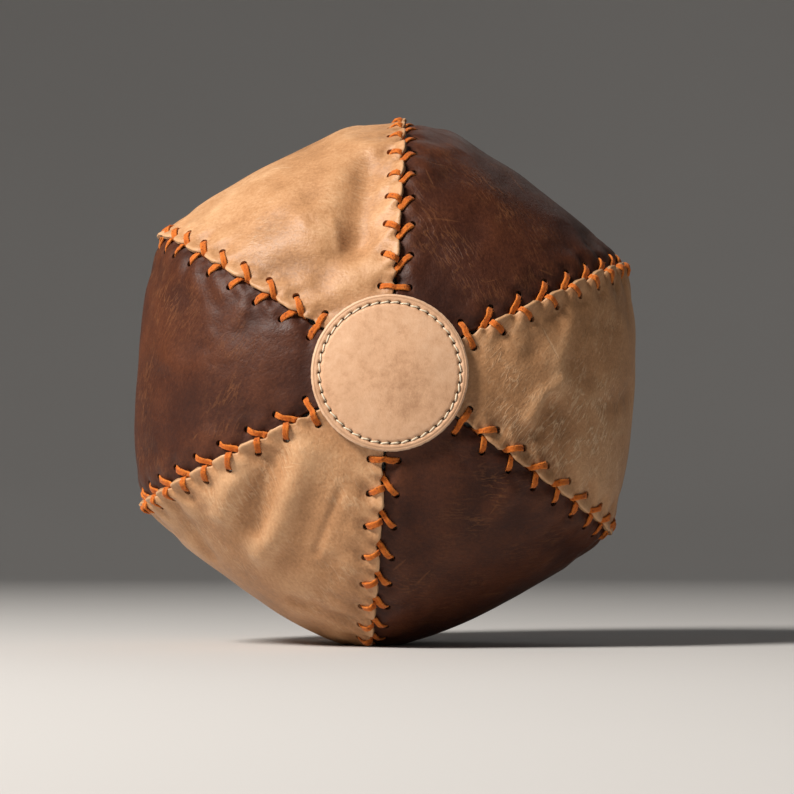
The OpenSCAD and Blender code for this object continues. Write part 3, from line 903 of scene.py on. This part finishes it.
def goreSpot(gore, run, side, out):
    # a gore's point, facing and row and column, out millimetres from the seam beside it
    s = alongAngle(seamAngle(run))
    row = np.interp(s, gore["s"], np.arange(len(gore["s"])))
    low = int(row)
    edges = gore["edge"][low] * (1 - row + low) + gore["edge"][min(low + 1, len(gore["s"]) - 1)] * (row - low)
    middle = len(edges) // 2
    col = np.interp(max(out - ball["seamGap"], 0), edges[:middle], np.arange(middle))
    col = col if side > 0 else len(edges) - 1 - col
    row, col = np.array(row), np.array(col)
    return readGrid(gore["outer"], row, col), unit(readGrid(gore["normal"], row, col))


def holeSpots(gore):
    return [goreSpot(gore, run, side, lacing["out"]) for side in (1, -1) for run in rowRun]


gores = [shapeGore(i) for i in range(6)]
for i, gore in enumerate(gores):
    away = np.clip((gore["edge"] - 3) / 10, 0, 1)
    pulled = 0.16 + 0.14 * ripples(gore["outer"], 40, 10, 50 + i)
    if i == 0:  # the loose, veined grain is on the right-hand gore
        across, along = gore["laid"][..., 0] / mm, gore["laid"][..., 1] / mm
        pulled = pulled + 0.85 * np.exp(-((across + 22) / 30) ** 2 - ((along - 105) / 42) ** 2)
    gore["veined"] = np.clip(pulled, 0, 1) * (0.4 + 0.6 * away)
print("gores shaped")

punching = punchTree()
for i, gore in enumerate(gores):
    places, ways = (np.array(part) for part in zip(*holeSpots(gore)))
    marks = meshObject(f"punch_marks_{i}", inRoom(places), [], None)
    paintWay(marks.data, "facing", ways)
    slot = "tan_leather" if i % 2 == 0 else "brown_leather"
    cover = grown(goreShell(i, gore), punching, f"leather_gore_{goreNames[i]}", Punches=marks,
                  Radius=lacing["holeR"] * mm, Leather=finishes[slot])
    bpy.data.objects.remove(marks)
    standFor(cover, f"panel_{goreNames[i]}")
    print(f"gore {goreNames[i]} punched and dressed")

# laces: one strip for each seam, along the holes and the displaced leather

laceLook = {
    "step": 0.8,        # between points along the route
    "lift": 0.74,       # middle of the lace over the leather
    "inHole": (-4.4, -1.2), "exit": (0.30, 1.0),  # depths in a hole, and how the lace leaves it
    "under": (-1.7, -4.2),                        # depths between the edges
    "armTop": 0.35, "barTop": 0.9, "straight": 0.9,
    "tail": (9, -4.0), "floorGap": 1.2,
    "corner": 0.40, "nub": 0.60, "nubSize": 0.0012,
    "fibres": 1.1e6, "fibreLength": 0.9, "seed": 5,
}


def strung(points, widths, step):
    # one smooth line through the points, with the strip's width direction along it
    points, widths = np.array(points), np.array(widths)
    for k in range(1, len(widths)):
        if widths[k] @ widths[k - 1] < 0:
            widths[k] *= -1
    t = np.concatenate([[0], np.cumsum(np.linalg.norm(np.diff(points, axis=0), axis=1))])
    slope = np.gradient(points, t, axis=0)
    u = np.linspace(0, t[-1], int(t[-1] / step))
    k = np.clip(np.searchsorted(t, u) - 1, 0, len(t) - 2)
    gap = (t[k + 1] - t[k])[:, None]
    x = ((u - t[k])[:, None]) / gap
    line = ((1 + 2 * x) * (1 - x) ** 2 * points[k] + x * (1 - x) ** 2 * gap * slope[k]
            + x ** 2 * (3 - 2 * x) * points[k + 1] + x ** 2 * (x - 1) * gap * slope[k + 1])
    wide = (1 - x) * widths[k] + x * widths[k + 1]
    along = unit(np.gradient(line, axis=0))
    return line, unit(wide - (wide * along).sum(-1, keepdims=True) * along), t[-1]


def laceRoute(seam):
    points, widths = [], []

    def spot(side, run, out, lift):
        place, normal = goreSpot(gores[(seam + (side > 0)) % 6], run, side, out)
        return place + normal * lift, normal

    def seamSpot(run, lift):
        (a, na), (b, nb) = (spot(side, run, ball["seamGap"], 0) for side in (-1, 1))
        normal = unit(na + nb)
        return (a + b) / 2 + normal * lift, normal

    def add(place, width):
        points.append(place)
        widths.append(width)

    def climb(side, run, toward, out=True):
        # through a hole and over its rim, towards the seam
        hole, normal = spot(side, run, lacing["out"], 0)
        way = unit(toward - hole - normal * ((toward - hole) @ normal))
        across = unit(np.cross(way, normal))
        steps = [hole + normal * z for z in laceLook["inHole"]]
        steps.append(hole + normal * laceLook["exit"][0] + way * laceLook["exit"][1])
        for place in steps if out else steps[::-1]:
            add(place, across)
        return across

    def pull(side, start, stop, first, last, across):
        # straight from one point to another, but over whatever leather is in the way
        for t in (0.3, 0.55, 0.8):
            run, out = start + t * (stop - start), lacing["out"] * (1 - t) + 0.4 * t
            face, normal = spot(side, run, out, laceLook["lift"])
            chord = first + t * (last - first)
            add(chord + normal * max(0, (face - chord) @ normal), across)

    def arm(side, n):
        dive = rowRun[n] - lacing["slant"] - side * lacing["longSide"][seam] * lacing["diveGap"]
        top, normal = seamSpot(dive, laceLook["armTop"])
        across = climb(side, rowRun[n], top)
        pull(side, rowRun[n], dive, points[-1], top, across)
        along = unit(seamSpot(dive + 1, 0)[0] - seamSpot(dive - 1, 0)[0])
        along *= np.sign(along @ across)
        add(top, unit(across + along))
        for z in laceLook["under"]:
            add(top + normal * z, along)

    def bar(side, n):
        run = rowRun[n]
        nearer = laceLook["straight"] * lacing["out"] * math.tan(halfTurn)
        middle = run - nearer if n == 0 else run + nearer
        top, normal = seamSpot(middle, laceLook["barTop"])
        climb(side, run, top)
        across = unit(seamSpot(middle + 1, 0)[0] - seamSpot(middle - 1, 0)[0])
        pull(side, run, middle, points[-1], top, across)
        add(top, across)
        over = spot(-side, run, lacing["out"], laceLook["exit"][0])[0]
        for t in (0.2, 0.45, 0.7):
            face, normal = spot(-side, middle + (run - middle) * t, lacing["out"] * t, laceLook["lift"])
            chord = top + t * (over - top)
            add(chord + normal * max(0, (face - chord) @ normal), across)
        climb(-side, run, top, out=False)

    def tail(run):
        place, normal = spot(1, run, lacing["out"], laceLook["tail"][1])
        add(place, unit(np.cross(normal, seamSpot(run, 0)[0] - place)))

    tail(rowRun[0] + laceLook["tail"][0])
    bar(1, 0)
    for n in range(1, lacing["rows"] - 1):
        arm(-1, n)
        arm(1, n)
    bar(-1, lacing["rows"] - 1)
    tail(rowRun[-1] - laceLook["tail"][0])
    return strung(points, widths, laceLook["step"])


def laceTree():
    g = Grove("suede lace", Width=0.003, Thickness=0.0012, Corner=0.00045, Nub=0.0004, Nub_Size=0.0015,
              Fibres=1e6, Fibre_Length=0.0009, Seed=5, Leather="Material")
    line = g.node("GeometryNodeMeshToCurve", {}, {"Mesh": g.given("Geometry")})
    turned = g.node("GeometryNodeSetCurveNormal", {"mode": "FREE"},
                    {"Curve": line, "Normal": g.stored("across", "FLOAT_VECTOR")})
    flat = g.node("GeometryNodeCurvePrimitiveQuadrilateral", {},
                  {"Width": g.given("Width"), "Height": g.given("Thickness")})
    soft = g.node("GeometryNodeFilletCurve", {"mode": "POLY"},
                  {"Curve": flat, "Count": 3, "Radius": g.given("Corner"), "Limit Radius": True})
    even = g.node("GeometryNodeResampleCurve", {}, {"Curve": soft, "Count": 18})
    side = g.maths("ABSOLUTE", g.node("ShaderNodeSeparateXYZ", {}, [g.node("GeometryNodeInputPosition")]))
    edge = g.maths("MULTIPLY", g.maths("DIVIDE", side, g.given("Width")), 2.0)
    outline = g.node("GeometryNodeStoreNamedAttribute", {"data_type": "FLOAT", "domain": "POINT"},
                     {"Geometry": even, "Name": "edge", "Value": edge})
    strip = g.node("GeometryNodeCurveToMesh", {},
                   {"Curve": turned, "Profile Curve": outline, "Scale": g.stored("girth"), "Fill Caps": True})
    amount = g.maths("MULTIPLY", g.maths("MULTIPLY_ADD", g.stored("edge"), 0.75, 0.25), g.given("Nub"))
    coarse = g.maths("DIVIDE", 1.0, g.given("Nub Size"))
    smoothed = g.uneven(strip, amount, {"Scale": coarse, "Detail": 2.0, "Roughness": 0.6})
    dense = g.maths("MULTIPLY", g.maths("POWER", g.stored("edge"), 4.0), g.given("Fibres"))
    scatter = g.tree.nodes.new("GeometryNodeDistributePointsOnFaces")
    plug(g.tree, scatter, {"Mesh": smoothed, "Seed": g.given("Seed"), "Density": dense})
    lean = g.node("FunctionNodeRandomValue", {"data_type": "FLOAT_VECTOR"},
                  {"Min": (-1.1, -1.1, 0), "Max": (1.1, 1.1, 0), "Seed": g.given("Seed")})
    away = g.node("FunctionNodeRotateRotation", {"rotation_space": "LOCAL"},
                  [scatter.outputs["Rotation"], g.node("FunctionNodeEulerToRotation", {}, [lean])])
    size = g.node("FunctionNodeRandomValue", {"data_type": "FLOAT"},
                  {2: 0.4, 3: 1.0, "Seed": g.given("Seed")}, out=1)
    fibre = g.node("GeometryNodeMeshCone", {"fill_type": "NGON"},
                   {"Vertices": 3, "Radius Top": 0.00003, "Radius Bottom": 0.00010,
                    "Depth": g.given("Fibre Length")})
    tufts = g.node("GeometryNodeInstanceOnPoints", {},
                   {"Points": scatter.outputs["Points"], "Instance": fibre, "Rotation": away, "Scale": size})
    both = g.tree.nodes.new("GeometryNodeJoinGeometry")
    g.tree.links.new(smoothed, both.inputs[0])
    g.tree.links.new(tufts, both.inputs[0])
    return g.finish(both.outputs[0], g.given("Leather"))


def keepOffFloor(piece, low=0.0001):
    points = np.empty(len(piece.data.vertices) * 3)
    piece.data.vertices.foreach_get("co", points)
    points[2::3] = np.maximum(points[2::3], low)
    piece.data.vertices.foreach_set("co", points)
    piece.data.update()


lacingTree = laceTree()
for seam, name in enumerate(seamNames):
    line, wide, length = laceRoute(seam)
    line[:, 1] = np.maximum(line[:, 1], laceLook["floorGap"] - centreZ)
    guide = bpy.data.meshes.new(f"lace_line_{name}")
    guide.from_pydata(inRoom(line).tolist(), [(k, k + 1) for k in range(len(line) - 1)], [])
    paintWay(guide, "across", wide)
    girth = 0.98 + 0.09 * ripples(line, 9, 8, 70 + seam)
    paint(guide, "girth", np.clip(girth, 0.8, 1.15))
    base = bpy.data.objects.new(f"lace_line_{name}", guide)
    bpy.context.scene.collection.objects.link(base)
    lace = grown(base, lacingTree, f"suede_lace_{name}", **{
        "Width": lacing["width"] * mm, "Thickness": lacing["thick"] * mm, "Corner": laceLook["corner"] * mm,
        "Nub": laceLook["nub"] * mm, "Nub Size": laceLook["nubSize"], "Fibres": laceLook["fibres"],
        "Fibre Length": laceLook["fibreLength"] * mm, "Seed": laceLook["seed"] + seam,
        "Leather": finishes["lace_leather"]})
    keepOffFloor(lace)
    standFor(lace, f"lace_{name}")
    print(f"lace {name}: {length:.0f} mm")

# the round patches and their saddle stitches

patchLook = {
    "radius": 38.0, "thick": 2.6, "gap": 0.1, "dome": 0.35,
    "stitchR": 34.0, "stitches": 44, "creaseR": 36.5,
    "groove": 0.45, "crease": 0.14, "edgeRound": 0.60, "fray": 0.045,
    "awlLong": 1.15, "awlWide": 0.75, "awlDeep": 1.1, "slant": 30,
}
stitchLook = {
    "length": 3.9, "thread": 0.40, "rise": 0.26, "dip": 1.5, "slant": 0.16, "loose": 0.09, "seed": 9,
}


def patchShape(end):
    look = patchLook
    around = look["stitches"] * 8
    rim = look["radius"]
    radii = np.concatenate([np.linspace(1.5, rim - 7, 16), np.linspace(rim - 6.5, rim - 0.8, 26)])
    top = [(r, 0) for r in radii]
    wall = [(rim - 0.5, 0.06), (rim - 0.25, 0.2), (rim - 0.08, 0.42), (rim, 0.8),
            (rim + 0.02, 1.3), (rim - 0.02, 1.9), (rim - 0.1, 2.4)]
    under = [(r, look["thick"]) for r in (rim - 0.4, rim - 5, 20.0, 4.0)]
    line = np.array(top + wall + under)
    r, drop = line[:, 0][:, None], line[:, 1][:, None]
    turn = np.linspace(0, 2 * math.pi, around, endpoint=False)[None, :]
    flat = np.stack([r * np.cos(turn), r * np.sin(turn), 0 * r * turn], -1)
    face = drop < 0.3
    pitch = 2 * math.pi / look["stitches"]
    off = (np.mod(turn + pitch / 2, pitch) - pitch / 2) * look["stitchR"]
    out = r - look["stitchR"]
    c, s = math.cos(math.radians(look["slant"])), math.sin(math.radians(look["slant"]))
    awl = np.exp(-((off * c + out * s) / look["awlLong"]) ** 2 - ((out * c - off * s) / look["awlWide"]) ** 2)
    height = -look["groove"] * np.exp(-((r - look["stitchR"]) / 1.0) ** 2)
    height = height - look["crease"] * np.exp(-((r - look["creaseR"]) / 0.34) ** 2)
    height = height - look["edgeRound"] * np.clip((r - rim + 1.1) / 1.1, 0, 1) ** 2 * face
    height = height - look["awlDeep"] * awl
    height = height + 0.10 * ripples(flat, 26, 12, 91 + end) + 0.04 * ripples(flat, 7, 12, 92 + end)
    height = height + look["dome"] * np.clip(1 - (r / look["stitchR"]) ** 2, 0, 1)
    height = height * (drop < 2.5)
    edge = smooth(rim - 1.5, rim - 0.4, r)
    fray = look["fray"] * (ripples(flat, 3.2, 16, 93 + end) + 0.6 * ripples(flat, 1.3, 16, 94 + end)) * edge
    radius = r + fray
    z = crownZ(r) + look["gap"] + look["thick"] - drop + height
    points = np.stack([radius * np.cos(turn), radius * np.sin(turn), z], -1)
    flatTop = [0, 0, crownZ(0.0) + look["gap"] + look["thick"] + look["dome"]]
    flatLow = [0, 0, crownZ(0.0) + look["gap"]]
    points = np.concatenate([points.reshape(-1, 3), [flatTop, flatLow]])
    if end < 0:
        points = points * [-1, 1, -1]
    name = "front" if end > 0 else "back"
    faces = turnedFaces(len(line), around)
    made = meshObject(f"pole_patch_{name}", inRoom(points), faces, finishes["patch_leather"])
    made.data.polygons.foreach_set("use_smooth", [True] * len(made.data.polygons))
    layers = {
        "rub": np.clip(smooth(rim - 1.1, rim - 0.3, r) * (drop < 1), 0, 1),
        "raw": (drop > 0.3) * 1.0,
        # awl: the slanted awl holes, painted near black in the material as shade inside the holes
        "awl": np.clip(awl * 1.3 - 0.12, 0, 1) * face,
        # crease: the thin groove near the rim, painted darker as shade in the crease
        "crease": np.exp(-((r - look["creaseR"]) / 0.4) ** 2) * face,
    }
    for layer, values in layers.items():
        paint(made.data, layer, np.concatenate([(values + 0 * r * turn).ravel(), [0, 0]]))
    standFor(made, f"patch_{name}")


def stitchTree():
    g = Grove("saddle stitches", Count=44, Ring_Radius=0.035, Length=0.004, Thread=0.00045, Dip=0.001,
              Slant=0.2, Loose=0.07, Height=0.1, Turn="Vector", Middle=0.134, Seed=9,
              Thread_Finish="Material")
    half = g.maths("MULTIPLY", g.given("Length"), 0.5)
    left = g.node("ShaderNodeCombineXYZ", {}, [g.maths("MULTIPLY", half, -1.0)])
    line = g.node("GeometryNodeCurvePrimitiveLine", {}, [left, g.node("ShaderNodeCombineXYZ", {}, [half])])
    fine = g.node("GeometryNodeResampleCurve", {}, {"Curve": line, "Count": 11})
    along = g.node("ShaderNodeSeparateXYZ", {}, [g.node("GeometryNodeInputPosition")])
    part = g.maths("ABSOLUTE", g.maths("DIVIDE", along, half))
    drop = g.maths("MULTIPLY", g.maths("POWER", part, 5.0), g.given("Dip"))
    bent = g.node("GeometryNodeSetPosition", {},
                  {"Geometry": fine, "Offset": g.upward(g.maths("MULTIPLY", drop, -1.0))})
    section = g.node("GeometryNodeCurvePrimitiveCircle", {}, {"Resolution": 8, "Radius": g.given("Thread")})
    strand = g.node("GeometryNodeCurveToMesh", {},
                    {"Curve": bent, "Profile Curve": section, "Fill Caps": True})
    smoothed = g.uneven(strand, 0.00022, {"Scale": 1600.0, "Detail": 1.0})
    ring = g.node("GeometryNodeMeshCircle", {},
                  {"Vertices": g.given("Count"), "Radius": g.given("Ring Radius")})
    pitch = g.maths("DIVIDE", 2 * math.pi, g.given("Count"))
    turn = g.maths("MULTIPLY", g.node("GeometryNodeInputIndex"), pitch)
    wobble = g.node("FunctionNodeRandomValue", {"data_type": "FLOAT"},
                    {2: -1.0, 3: 1.0, "Seed": g.given("Seed")}, out=1)
    lean = g.maths("ADD", g.given("Slant"), g.maths("MULTIPLY", wobble, g.given("Loose")))
    facing = g.maths("ADD", g.maths("ADD", turn, math.pi / 2), lean)
    placed = g.node("GeometryNodeInstanceOnPoints", {},
                    {"Points": ring, "Instance": smoothed, "Rotation": g.upward(facing)})
    raised = g.node("GeometryNodeTransform", {},
                    {"Geometry": placed, "Rotation": g.upward(g.maths("MULTIPLY", pitch, 0.5)),
                     "Translation": g.upward(g.given("Height"))})
    stood = g.node("GeometryNodeTransform", {},
                   {"Geometry": raised, "Rotation": g.given("Turn"),
                    "Translation": g.upward(g.given("Middle"))})
    return g.finish(stood, g.given("Thread Finish"))


stitching = stitchTree()
for end, name in ((1, "front"), (-1, "back")):
    patchShape(end)
    start = meshObject(f"stitch_start_{name}", [(0, 0, 0)], [], None)
    look = stitchLook
    high = float(crownZ(patchLook["stitchR"])) + patchLook["gap"] + patchLook["thick"] - patchLook["groove"]
    ring = grown(start, stitching, f"patch_stitches_{name}", **{
        "Count": patchLook["stitches"], "Ring Radius": patchLook["stitchR"] * mm,
        "Length": look["length"] * mm, "Thread": look["thread"] * mm, "Dip": look["dip"] * mm,
        "Slant": look["slant"], "Loose": look["loose"], "Height": (high + look["rise"]) * mm,
        "Turn": (math.pi / 2, 0, 0 if end > 0 else math.pi), "Middle": centreZ * mm,
        "Seed": look["seed"] + end, "Thread Finish": finishes["waxed_thread"]})
    standFor(ring, f"patch_thread_{name}")
    print(f"patch {name} and its {patchLook['stitches']} stitches made")

# the canvas liner and the packing follow the leather, so that its dents don't meet them

linerLook = {"depth": 5.2, "thick": 0.8, "rows": 61, "cols": 21, "flaps": (8.5, 4.5)}
packingLook = {
    "depth": 6.6, "steps": 25, "around": 144, "lumps": 0.35, "apart": 0.1,
    "hollow": 46.5, "neckR": 10.5, "neckTop": 69,  # room for the sand pouch and its neck
}


def buildLiner(i, gore):
    look = linerLook
    soft = np.stack([blurred(gore["outer"][..., k], 3) for k in range(3)], -1)
    rows, cols = soft.shape[:2]
    row = np.linspace(2, rows - 3, look["rows"])[:, None] + np.zeros((1, look["cols"]))
    col = np.linspace(4, cols - 5, look["cols"])[None, :] + np.zeros((look["rows"], 1))
    normal = unit(readGrid(gore["normal"], row, col))
    face = readGrid(soft, row, col) - normal * look["depth"]
    inward = -unit(face * [1, 1, 1.5])
    flaps = [face[:, :1] + inward[:, :1] * k for k in look["flaps"]]
    flapsFar = [face[:, -1:] + inward[:, -1:] * k for k in look["flaps"][::-1]]
    outer = np.concatenate(flaps + [face] + flapsFar, 1)
    normals = unit(np.cross(np.gradient(outer, axis=0), np.gradient(outer, axis=1)))
    inner = outer - normals * look["thick"]
    liner = slab(f"canvas_liner_{goreNames[i]}", outer, inner, finishes["canvas"])
    standFor(liner, f"liner_{goreNames[i]}")


def packingSkin(angle, bearing):
    # a point under the dents of the gore that lies in this direction
    gore = int(round((bearing - ball["roll"]) / 60)) % 6
    off = math.radians((bearing - goreAngle(gore) + 180) % 360 - 180)
    radius, height = (float(v) for v in profile(np.array(angle)))
    rho = axisD + radius
    turn = off - math.asin(axisD * math.sin(off) / rho)
    s, edge = gores[gore]["s"], gores[gore]["edge"]
    row = float(np.interp(alongAngle(angle), s, np.arange(len(s))))
    half = edge.shape[1] // 2
    across = rho * abs(turn)
    col = float(np.interp(edge[int(row), half] - across, edge[int(row), :half + 1], np.arange(half + 1)))
    col = edge.shape[1] - 1 - col if turn > 0 else col
    low = gores[gore]["sunk"][int(row), int(round(col))]
    deep = packingLook["depth"] - min(low, 0)
    out, up = radius - deep * math.sin(angle), height - deep * math.cos(angle)
    turned = math.radians(bearing)
    return out * math.cos(turned), out * math.sin(turned), up


def hollowReach(way):
    look = packingLook
    lean = math.acos(max(-1, min(1, way[1])))
    neck = min(look["neckTop"] / math.cos(lean), look["neckR"] / max(math.sin(lean), 1e-3))
    return max(look["hollow"], neck if lean < 0.5 else 0)


def buildPacking(end):
    look = packingLook
    rows = []
    bearings = [360 * k / look["around"] + ball["roll"] for k in range(look["around"])]
    for k in range(1, look["steps"] + 1):
        angle = math.pi / 2 * k / look["steps"]
        rows.append([packingSkin(angle if end > 0 else math.pi - angle, b) for b in bearings])
    for k in range(look["steps"], 0, -1):
        angle = math.pi / 2 * k / look["steps"]
        ring = []
        for b in bearings:
            way = (math.sin(angle) * math.cos(math.radians(b)), math.sin(angle) * math.sin(math.radians(b)),
                   end * math.cos(angle))
            ring.append([hollowReach(way) * c for c in way])
        rows.append(ring)
    points = np.array(rows)
    points = points + unit(points) * look["lumps"] * ripples(points, 17, 16, 61)[..., None]
    points[..., 2] += end * look["apart"]
    faces = turnedFaces(*points.shape[:2])
    top = [0, 0, end * (ball["poleH"] - look["depth"])]
    points = np.concatenate([points.reshape(-1, 3), [top, [0, 0, end * look["hollow"]]]])
    faces = faces if end > 0 else [f[::-1] for f in faces]
    name = "front" if end > 0 else "back"
    wad = meshObject(f"textile_packing_{name}", inRoom(points), faces, finishes["textile_scrap"])
    standFor(wad, f"packing_{name}")


for i, gore in enumerate(gores):
    buildLiner(i, gore)
for end in (1, -1):
    buildPacking(end)
print("liner and packing made")

for name, slot in (("pouch_cloth", "canvas"), ("pouch_sand", "sand"), ("pouch_tie", "tie_cord")):
    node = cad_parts[name]
    node.data.materials.clear()
    node.data.materials.append(finishes[slot])
